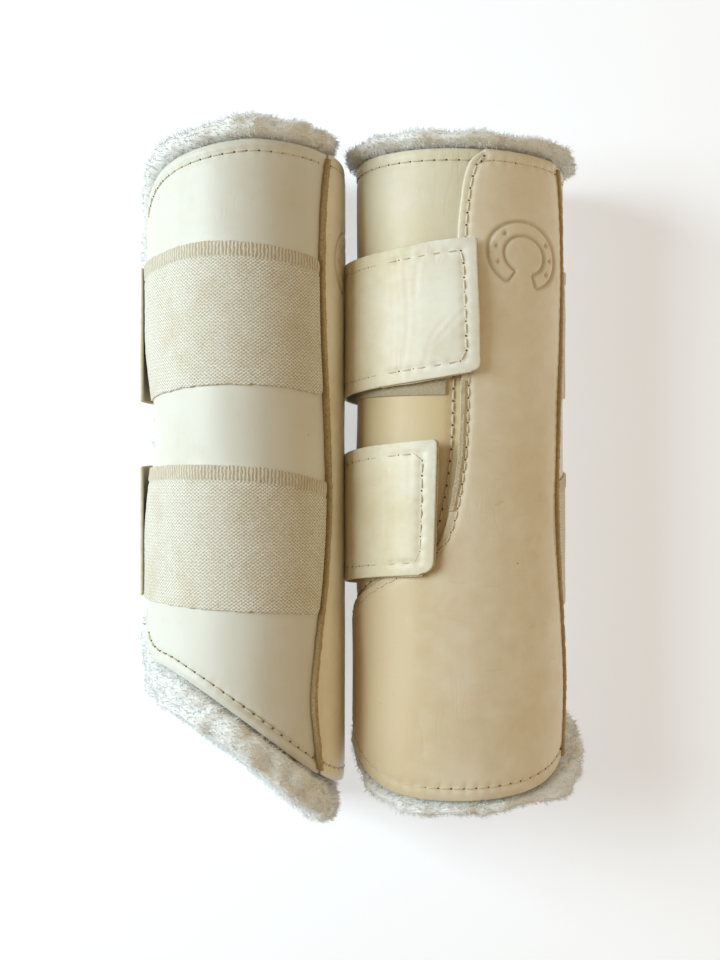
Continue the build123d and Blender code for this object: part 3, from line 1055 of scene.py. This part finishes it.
for side in SIDES:
    for name in STRAP_NAMES:
        elastic(side, name)
        loop_patch(side, name)

# %% [markdown]
# The strap's two edges are straight lines that slant a little towards the fastened end. The end of the tab
# stands off the boot by a few millimetres, because a stiff tab never lies flat once it has been lifted.

# %% Straps and tabs
STRAP_LINES = {
    "upper": {"low": [(80, 47.6), (92, 46.3), (110, 43.2), (134, 40.0), (180, 36.0), (226, 35.5)],
              "high": [(80, 103.4), (92, 102.2), (110, 100.4), (134, 97.4), (180, 95.0), (226, 94.5)],
              "tip": (115.0, 1.6, 3.4), "clip": (3.4, 1.2)},
    "lower": {"low": [(100, -38.5), (134, -41.5), (180, -48.0), (226, -51.5)],
              "high": [(100, 17.4), (134, 14.6), (180, 8.0), (226, 5.5)],
              "tip": (137.0, 2.6, 1.2), "clip": (5.0, 1.4)},
}
STRAP_IN, STRAP_OUT = 2.8, 4.4
STRAP_START = FREE_EDGE + AROUND
TAB_INSET = 5.0


def strap_edges(name):
    """The lower and upper edge of a strap, as lines over s, and its tip as a line over v."""
    strap = STRAP_LINES[name]
    low, high = smooth(strap["low"]), smooth(strap["high"])
    angle, back_low, back_high = strap["tip"]
    at = arc_at(angle)
    up = lambda v: np.clip((v - low(at)) / (high(at) - low(at)), 0, 1)
    tip = lambda v: at + back_low + (back_high - back_low) * up(v)
    return low, high, tip


def band_bow(side, s):
    """How far a strap stands off near the free edge, where it goes on from the elastic."""
    bulge = 1.9 * np.exp(-((s - 156.0) / 20.0) ** 2) if side == "right" else 0.0
    return BAND_BOW * ease((s - 178.0) / (STRAP_START - 178.0)) + bulge


def strap(side, name):
    low, high, _ = strap_edges(name)
    flat, quads = curtain(PEEL_LINE, STRAP_START, low, high, 1.5)
    flat = flat.reshape(-1, 2)
    s, v = flat.T
    relief = 0.22 * waves(s, v, 16, 41)
    near_peel = np.clip((s - PEEL_LINE) / 6, 0, 1)
    relief *= near_peel
    for row in (low, high):
        sign = 1 if row is low else -1
        path = line(PEEL_LINE + 1, STRAP_START - 3, 50, lambda x: row(x) + sign * TAB_INSET)
        sew(side, name + "_strap", path, lambda x, y: STRAP_OUT - 0.2 + band_bow(side, x))
        relief += sewn(flat, path, 0.3) * near_peel
    bow = band_bow(side, s)
    piece = slab(side + "_" + name + "_strap_cover", side, flat, quads, STRAP_OUT + relief + bow,
                 STRAP_IN + bow, 0.5, cut=PEEL_LINE)
    dress(piece, "strap_vinyl", None, [side + "_" + name + "_strap"])
    bend(piece, side, "front", name + "_strap", STRAP_START, 1.0, -5.0)


FOLDS = {
    "upper": [[(44, 127), (70, 126), (96, 127.5)], [(42, 122.5), (66, 120), (97, 121.5)],
              [(78, 117), (96, 115.5)], [(50, 113), (60, 110.5), (68, 105)],
              [(57, 110), (63, 105), (70, 99)]],
    "lower": [[(-38, 130), (-14, 129), (12, 130)], [(-36, 126.5), (-12, 125), (10, 127)],
              [(-8, 119), (12, 118.5)]],
}


def tab(side, name):
    low, high, tip = strap_edges(name)
    clip_low, clip_high = STRAP_LINES[name]["clip"]
    near_tip = float(tip(0.0))
    end = lambda v: tip(v) + rounded(v - low(near_tip), clip_low, clip_low) + rounded(
        high(near_tip) - v, clip_high, clip_high)
    flat, quads = curtain(end, PEEL_LINE, low, high, 0.9)
    flat = flat.reshape(-1, 2)
    s, v = flat.T
    seed = 43 if side == "left" else 47
    curl = lambda x, y: 2.1 + 0.8 * waves(0 * x, y, 21, seed)
    lift_at = lambda x, y: ease((tip(y) + 26 - x) / 26) * curl(x, y) + band_bow(side, x)
    lift = lift_at(s, v)
    near_peel = np.clip((PEEL_LINE - s) / 6, 0, 1)
    relief = (0.22 * waves(s, v, 17, 44) + 0.10 * waves(s, v, 5.5, 45, 5.0)) * near_peel
    for fold in FOLDS[name]:
        at = np.linspace(fold[0][0], fold[-1][0], 30)
        away, _ = beside(flat, np.stack([smooth(fold)(at), at], axis=-1))
        relief += 0.07 * np.exp(-((away - 1.5) / 0.9) ** 2) - 0.09 * np.exp(-(away / 0.9) ** 2)
    top, foot = float(high(near_tip)) - TAB_INSET, float(low(near_tip)) + TAB_INSET
    down = np.linspace(top, foot, 40)
    above = np.linspace(PEEL_LINE - 2, float(tip(top)) + TAB_INSET, 40)
    below = np.linspace(float(tip(foot)) + TAB_INSET, PEEL_LINE - 2, 40)
    path = np.concatenate([np.stack([above, high(above) - TAB_INSET], -1),
                           np.stack([tip(down) + TAB_INSET, down], -1)[1:],
                           np.stack([below, low(below) + TAB_INSET], -1)[1:]])
    sew(side, name + "_tab", path, lambda x, y: STRAP_OUT - 0.25 + lift_at(x, y), 6.2)
    relief += sewn(flat, path, 0.4, 1.1) * near_peel
    full = side + "_" + name
    piece = slab(full + "_tab_cover", side, flat, quads, STRAP_OUT + lift + relief,
                 STRAP_OUT - 0.9 + lift, 0.4, cut=PEEL_LINE)
    dress(piece, "strap_vinyl", None, [full + "_tab"])
    bend(piece, side, name + "_strap", name + "_tab", PEEL_LINE, 0.5, -4.0)
    proud = lambda v: end(v) - 0.7 - 0.3 * waves(0 * v, v, 9, 61)
    flat, quads = curtain(proud, PEEL_LINE, lambda s: low(s) - 0.6 - 0.3 * waves(s, 0 * s, 11, 62), high, 1.3)
    flat = flat.reshape(-1, 2)
    lift = lift_at(*flat.T)
    piece = slab(full + "_tab_backing", side, flat, quads, STRAP_OUT - 1.0 + lift, STRAP_IN - 0.2 + lift, 0.3,
                 cut=PEEL_LINE)
    dress(piece, "pale_edge", None)
    bend(piece, side, name + "_strap", name + "_tab", PEEL_LINE, 0.5, -4.0)


for side in SIDES:
    for name in STRAP_NAMES:
        strap(side, name)
        tab(side, name)

# %% [markdown]
# ## Welts
#
# Where the front panel meets the strike pad, the seam is covered by a narrow folded strip. Behind the
# strike pad a second strip has frayed. Both are thin slabs with ragged sides.

# %% Welts
def welt(side, name, centre, half_width, low, high, offsets, finish, body):
    ragged = lambda v: 0.22 * waves(0 * v, v, 3.0, 51) + 0.12 * waves(0 * v, v, 0.9, 52)
    flat, quads = curtain(lambda v: centre(v) - half_width + ragged(v),
                          lambda v: centre(v) + half_width + ragged(v + 7),
                          low, high, 0.7, (0.1, 0.25, 0.5))
    flat = flat.reshape(-1, 2)
    s, v = flat.T
    outer = offsets[1] + 0.14 * waves(s, v, 1.6, 53) + 0.1 * waves(s, v, 0.8, 54)
    piece = slab(side + "_" + name + "_cover", side, flat, quads, outer, offsets[0], 0.3)
    dress(piece, finish, body and side + "_" + body, [side + "_" + name])
    if body is None:
        bend(piece, side, "boot", "front", HINGE, 4.0, -6.0)
    return piece


for side in SIDES:
    welt(side, "front_welt", lambda v: front_seam(v) - 0.4, 0.85, lambda s: hem(s) + 1.0, SHELL_TOP - 2.0,
         (0.0, 2.5), "raw_edge", None)
    piece = welt(side, "rear_welt", lambda v: rear_seam(v) - 0.2, 0.8, -13.0, 42.0,
                 (PAD_OUT - 0.9, PAD_OUT + 0.25), "pale_edge", "boot")
    print(side, "welts made; the rear one has", len(piece.data.polygons), "faces")

# %% [markdown]
# ## Plates, foam and hook tape
#
# These solids already have the right shape in the frame, so they stay and only get a finish. They have no
# flat map, so their finishes read the object's own space.

# %% Dress the solids that stay
KEPT = {"strike_plate": "hard_plate", "rear_foam": "foam"}
for name in STRAP_NAMES:
    KEPT[name + "_strap_hook"] = "hook_tape"
    KEPT[name + "_tab_hook"] = "hook_tape"
for side in SIDES:
    for node, finish in KEPT.items():
        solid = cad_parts[side + "_" + node]
        solid.data.materials.clear()
        solid.data.materials.append(FINISHES[finish])
print("kept solids:", len(KEPT) * len(SIDES))

# %% [markdown]
# ## Sewing
#
# A row of stitches is the same small thing many times, so Geometry Nodes makes it. The script puts a point
# at the middle of each stitch, with its two directions, and a second kind of point at each hole. The tree
# puts a capsule of thread or a dark ball of painted shade there, and Realize Instances makes them real faces.

# %% A stitching tree
def tree_input(tree, name, kind, value=None):
    socket = tree.interface.new_socket(name, in_out="INPUT", socket_type=kind)
    if value is not None:
        socket.default_value = value
    return socket


def named(tree, kind, name, data_type):
    node = tree.nodes.new("GeometryNodeInputNamedAttribute")
    node.data_type = data_type
    node.inputs["Name"].default_value = name
    return node.outputs["Attribute"]


def stitching_tree():
    """Thread capsules, and dark balls of painted shade at the holes, on points that carry the vectors along
    and out and the number hole.
    """
    tree = bpy.data.node_groups.new("stitching", "GeometryNodeTree")
    tree_input(tree, "Geometry", "NodeSocketGeometry")
    tree_input(tree, "Thread Radius", "NodeSocketFloat", 0.0004)
    tree_input(tree, "Thread Length", "NodeSocketFloat", 0.004)
    tree_input(tree, "Hole Shade Radius", "NodeSocketFloat", 0.0006)
    tree_input(tree, "Thread", "NodeSocketMaterial")
    tree.interface.new_socket("Geometry", in_out="OUTPUT", socket_type="NodeSocketGeometry")
    new, link = tree.nodes.new, tree.links.new
    start, stop = new("NodeGroupInput"), new("NodeGroupOutput")
    axes = new("FunctionNodeAxesToRotation")
    axes.primary_axis, axes.secondary_axis = "Z", "X"
    link(named(tree, "vector", "out", "FLOAT_VECTOR"), axes.inputs["Primary Axis"])
    link(named(tree, "vector", "along", "FLOAT_VECTOR"), axes.inputs["Secondary Axis"])
    joined = new("GeometryNodeJoinGeometry")
    # The first pass puts a small dark ball in each stitch hole: painted shade for the shadow in the hole.
    for is_hole_shade in (1.0, 0.0):
        ball = new("GeometryNodeMeshUVSphere")
        ball.inputs["Segments"].default_value = 8
        ball.inputs["Rings"].default_value = 5
        ball.inputs["Radius"].default_value = 1.0
        tag = new("GeometryNodeStoreNamedAttribute")
        tag.data_type, tag.domain = "FLOAT", "POINT"
        tag.inputs["Name"].default_value = "hole"
        tag.inputs["Value"].default_value = is_hole_shade
        link(ball.outputs["Mesh"], tag.inputs["Geometry"])
        size = new("ShaderNodeCombineXYZ")
        half = new("ShaderNodeMath")
        half.operation = "MULTIPLY"
        link(start.outputs["Hole Shade Radius" if is_hole_shade else "Thread Length"], half.inputs[0])
        half.inputs[1].default_value = 1.0 if is_hole_shade else 0.5
        link(half.outputs[0], size.inputs[0])
        link(start.outputs["Hole Shade Radius" if is_hole_shade else "Thread Radius"], size.inputs[1])
        link(start.outputs["Thread Radius"], size.inputs[2])
        match = new("FunctionNodeCompare")
        match.data_type, match.operation = "FLOAT", "GREATER_THAN" if is_hole_shade else "LESS_THAN"
        link(named(tree, "hole", "kind", "FLOAT"), match.inputs[0])
        match.inputs[1].default_value = 0.5
        place = new("GeometryNodeInstanceOnPoints")
        link(start.outputs["Geometry"], place.inputs["Points"])
        link(match.outputs[0], place.inputs["Selection"])
        link(tag.outputs["Geometry"], place.inputs["Instance"])
        link(axes.outputs["Rotation"], place.inputs["Rotation"])
        link(size.outputs[0], place.inputs["Scale"])
        link(place.outputs["Instances"], joined.inputs["Geometry"])
    real, paint = new("GeometryNodeRealizeInstances"), new("GeometryNodeSetMaterial")
    link(joined.outputs[0], real.inputs[0])
    link(real.outputs[0], paint.inputs[0])
    link(start.outputs["Thread"], paint.inputs["Material"])
    link(paint.outputs[0], stop.inputs[0])
    return tree


def grow(piece, tree, values):
    """Runs a tree on a piece and keeps the result as its plain mesh."""
    modifier = piece.modifiers.new("grow", "NODES")
    modifier.node_group = tree
    for item in tree.interface.items_tree:
        if item.in_out == "INPUT" and item.name in values:
            modifier[item.identifier] = values[item.name]
    bpy.context.view_layer.update()
    made = piece.evaluated_get(bpy.context.evaluated_depsgraph_get())
    mesh = bpy.data.meshes.new_from_object(made)
    piece.modifiers.remove(modifier)
    old, piece.data = piece.data, mesh
    bpy.data.meshes.remove(old)
    return piece


# %% Sew every planned row
STITCHES = stitching_tree()


def stitch_points(side, path, offset, pitch):
    """Middles and holes of a row: places, directions along and out, and the kind of each point."""
    ends = evenly(path, pitch)
    middles = (ends[1:] + ends[:-1]) / 2
    flat = np.concatenate([middles, ends])
    kind = np.concatenate([np.zeros(len(middles)), np.ones(len(ends))])
    lift = offset(flat[:, 0], flat[:, 1]) if callable(offset) else np.full(len(flat), float(offset))
    lift = lift + np.where(kind > 0.5, -0.50, -0.10)
    step = np.gradient(ends, axis=0)
    step = np.concatenate([ends[1:] - ends[:-1], step])
    step /= np.maximum(1e-9, np.hypot(*step.T))[:, None]
    ahead = wrap(side, flat[:, 0] + step[:, 0], flat[:, 1] + step[:, 1], lift)
    place = wrap(side, flat[:, 0], flat[:, 1], lift)
    along = (ahead - place) / np.linalg.norm(ahead - place, axis=1)[:, None]
    return place, along, facing(side, flat[:, 0]), kind


FOLLOWS = {"front": ("boot", "front", HINGE, 4.0, -6.0)}
for name in STRAP_NAMES:
    FOLLOWS[name + "_strap"] = ("front", name + "_strap", STRAP_START, 1.0, -5.0)
    FOLLOWS[name + "_tab"] = (name + "_strap", name + "_tab", PEEL_LINE, 0.5, -4.0)
for key in sorted(rows):
    side, body = key.split("_", 1)
    made = [stitch_points(*row) for row in rows[key]]
    place, along, out, kind = (np.concatenate(parts) for parts in zip(*made))
    piece = make_mesh(key + "_stitches", place, [])
    for name, vectors in (("along", along), ("out", out)):
        layer = piece.data.attributes.new(name, "FLOAT_VECTOR", "POINT")
        layer.data.foreach_set("vector", vectors.astype(np.float32).ravel())
    write_values(piece.data, "kind", kind)
    grow(piece, STITCHES, {"Thread Radius": 0.00042, "Thread Length": 0.0043, "Hole Shade Radius": 0.00046,
                           "Thread": FINISHES["thread"]})
    if body in FOLLOWS:
        bend(piece, side, *FOLLOWS[body])
    else:
        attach(piece, side + "_" + body)
    print(piece.name, int((kind < 0.5).sum()), "stitches")

# %% [markdown]
# ## Locks of hair
#
# The fleece ends in short curly locks. One lock is a small bent cone. Geometry Nodes scatters locks over
# each lining with a fixed seed, more of them where the pile shows, and leans each one at random.

# %% A pile tree
def pile_tree():
    """Bent cones scattered over faces, as many as the mesh's own number asks for."""
    tree = bpy.data.node_groups.new("pile", "GeometryNodeTree")
    tree_input(tree, "Geometry", "NodeSocketGeometry")
    tree_input(tree, "Density", "NodeSocketFloat", 100000.0)
    tree_input(tree, "Length", "NodeSocketFloat", 0.005)
    tree_input(tree, "Radius", "NodeSocketFloat", 0.0006)
    tree_input(tree, "Lean", "NodeSocketFloat", 0.9)
    tree_input(tree, "Seed", "NodeSocketInt", 5)
    tree_input(tree, "Fleece", "NodeSocketMaterial")
    tree.interface.new_socket("Geometry", in_out="OUTPUT", socket_type="NodeSocketGeometry")
    new, link = tree.nodes.new, tree.links.new
    start, stop = new("NodeGroupInput"), new("NodeGroupOutput")
    density = new("ShaderNodeMath")
    density.operation = "MULTIPLY"
    link(named(tree, "shown", "shown", "FLOAT"), density.inputs[0])
    link(start.outputs["Density"], density.inputs[1])
    scatter = new("GeometryNodeDistributePointsOnFaces")
    link(start.outputs["Geometry"], scatter.inputs["Mesh"])
    link(density.outputs[0], scatter.inputs["Density"])
    link(start.outputs["Seed"], scatter.inputs["Seed"])
    spine = new("GeometryNodeCurvePrimitiveBezierSegment")
    spine.inputs["Resolution"].default_value = 2
    for socket, point in (("Start", (0, 0, -0.15)), ("Start Handle", (0.02, 0, 0.35)),
                          ("End Handle", (0.25, 0, 0.75)), ("End", (0.6, 0, 0.8))):
        spine.inputs[socket].default_value = point
    taper = new("GeometryNodeSetCurveRadius")
    along, thin = new("GeometryNodeSplineParameter"), new("ShaderNodeMapRange")
    link(along.outputs["Factor"], thin.inputs[0])
    thin.inputs[3].default_value, thin.inputs[4].default_value = 1.0, 0.12
    link(spine.outputs[0], taper.inputs[0])
    link(thin.outputs[0], taper.inputs["Radius"])
    ring, tube = new("GeometryNodeCurvePrimitiveCircle"), new("GeometryNodeCurveToMesh")
    ring.inputs["Resolution"].default_value = 3
    ring.inputs["Radius"].default_value = 0.085
    link(taper.outputs[0], tube.inputs["Curve"])
    link(ring.outputs[0], tube.inputs["Profile Curve"])
    if "Scale" in tube.inputs:
        link(thin.outputs[0], tube.inputs["Scale"])
    tube.inputs["Fill Caps"].default_value = True
    lean = new("FunctionNodeRandomValue")
    lean.data_type = "FLOAT_VECTOR"
    flip = new("ShaderNodeVectorMath")
    flip.operation = "SCALE"
    flip.inputs[0].default_value = (-1, -1, -1)
    spread = new("ShaderNodeVectorMath")
    spread.operation = "SCALE"
    spread.inputs[0].default_value = (1, 1, 1)
    link(start.outputs["Lean"], flip.inputs["Scale"])
    link(start.outputs["Lean"], spread.inputs["Scale"])
    link(flip.outputs[0], lean.inputs["Min"])
    link(spread.outputs[0], lean.inputs["Max"])
    link(start.outputs["Seed"], lean.inputs["Seed"])
    tilted = new("ShaderNodeVectorMath")
    tilted.operation = "ADD"
    link(scatter.outputs["Normal"], tilted.inputs[0])
    link(lean.outputs["Value"], tilted.inputs[1])
    upright = new("FunctionNodeAlignRotationToVector")
    upright.axis = "Z"
    link(tilted.outputs[0], upright.inputs["Vector"])
    size = new("FunctionNodeRandomValue")
    size.data_type = "FLOAT"
    link(start.outputs["Seed"], size.inputs["Seed"])
    size.inputs[2].default_value, size.inputs[3].default_value = 0.45, 1.15
    length = new("ShaderNodeMath")
    length.operation = "MULTIPLY"
    link(start.outputs["Length"], length.inputs[0])
    link(size.outputs[1], length.inputs[1])
    place = new("GeometryNodeInstanceOnPoints")
    link(scatter.outputs["Points"], place.inputs["Points"])
    link(tube.outputs[0], place.inputs["Instance"])
    link(upright.outputs[0], place.inputs["Rotation"])
    link(length.outputs[0], place.inputs["Scale"])
    real, paint = new("GeometryNodeRealizeInstances"), new("GeometryNodeSetMaterial")
    link(place.outputs[0], real.inputs[0])
    link(real.outputs[0], paint.inputs[0])
    link(start.outputs["Fleece"], paint.inputs["Material"])
    link(paint.outputs[0], stop.inputs[0])
    return tree


# %% Grow the pile
PILE = pile_tree()
for (side, part), lining in linings.items():
    locks = bpy.data.objects.new(side + "_" + part + "_pile", lining.data.copy())
    bpy.context.scene.collection.objects.link(locks)
    locks.data.materials.clear()
    grow(locks, PILE, {"Density": 740000.0, "Length": 0.0024, "Lean": 0.95, "Seed": 5,
                       "Fleece": FINISHES["fleece"]})
    lie_on_floor(locks.data, 0.0)
    locks.data.shade_smooth()
    if part == "front":
        bend(locks, side, "boot", "front", HINGE, 4.0, -6.0)
    else:
        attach(locks, side + "_boot")
    print(locks.name, len(locks.data.polygons), "faces")

# %% [markdown]
# ## Floor, light and camera
#
# The boots lie on a pale floor under one large soft light from the left, with a dim warm room round them.
# The room lights the boots, but the camera sees a plain pale backdrop. The camera looks straight down.

# %% Floor
def ground():
    f = Finish("floor", Roughness=0.9, Specular_IOR_Level=0.1, Emission_Strength=0.42)
    f.shader.inputs["Emission Color"].default_value = (0.90, 0.95, 1.0, 1.0)
    tone = f.noise(f.space(), 300.0, 2.0)
    return f.done(f.mix(tone, (0.80, 0.83, 0.92), (0.78, 0.81, 0.90)))


FLOOR_SIZE = 6.0
half = FLOOR_SIZE / 2
corners = [(-half, -half, 0), (half, -half, 0), (half, half, 0), (-half, half, 0)]
floor = make_mesh("floor", corners, [(0, 1, 2, 3)])
floor.data.materials.append(ground())
floor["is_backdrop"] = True

# %% Light
def soft_light(name, place, aim, size, power, colour):
    lamp = bpy.data.lights.new(name, "AREA")
    lamp.shape = "RECTANGLE"
    lamp.size, lamp.size_y = size
    lamp.energy = power
    lamp.color = colour
    holder = bpy.data.objects.new(name, lamp)
    holder.location = place
    holder.rotation_euler = (Vector(aim) - Vector(place)).to_track_quat("-Z", "Y").to_euler()
    bpy.context.scene.collection.objects.link(holder)


soft_light("window", (-1.45, 0.32, 0.98), (0.0, 0.0, 0.05), (0.85, 1.1), 28.0, (0.86, 1.0, 1.03))
soft_light("far_wall", (1.5, -0.1, 0.72), (0.05, 0.0, 0.05), (0.9, 0.7), 4.0, (1.0, 0.80, 0.50))
world = bpy.data.worlds.new("room")
world.use_nodes = True
room = world.node_tree
room.nodes["Background"].inputs["Color"].default_value = (1.0, 0.74, 0.44, 1.0)
room.nodes["Background"].inputs["Strength"].default_value = 0.32
backdrop = room.nodes.new("ShaderNodeBackground")
pick = room.nodes.new("ShaderNodeMixShader")
seen = room.nodes.new("ShaderNodeLightPath")
backdrop.inputs["Color"].default_value = (0.86, 0.87, 0.88, 1.0)
room.links.new(seen.outputs["Is Camera Ray"], pick.inputs[0])
room.links.new(room.nodes["Background"].outputs[0], pick.inputs[1])
room.links.new(backdrop.outputs[0], pick.inputs[2])
room.links.new(pick.outputs[0], room.nodes["World Output"].inputs["Surface"])
bpy.context.scene.world = world
bpy.context.scene.view_settings.view_transform = "Standard"

# %% Camera
CAMERA_HEIGHT = 0.583
lens = bpy.data.cameras.new("camera")
lens.lens = 43.54
eye = bpy.data.objects.new("camera", lens)
HOME = {"left": (-50.5, 0.0), "right": (46.5, 0.0)}
middle = [sum(AXIS[side][k] - HOME[side][k] for side in SIDES) / 2 for k in range(2)]
eye.location = (middle[0] * MM, middle[1] * MM, CAMERA_HEIGHT)
bpy.context.scene.collection.objects.link(eye)
bpy.context.scene.camera = eye
print("camera at", [round(x, 4) for x in eye.location])

# %% [markdown]
# ## Close the frame
#
# The looks must not outgrow the solids, so both boxes are printed.

# %% Sizes and the end
visual_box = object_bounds()
sizes = {"cad": [list(corner) for corner in cad_box], "visual": [list(corner) for corner in visual_box]}
for name, (low, high) in sizes.items():
    print(name, "box", [round((b - a) / MM, 1) for a, b in zip(low, high)], "mm")
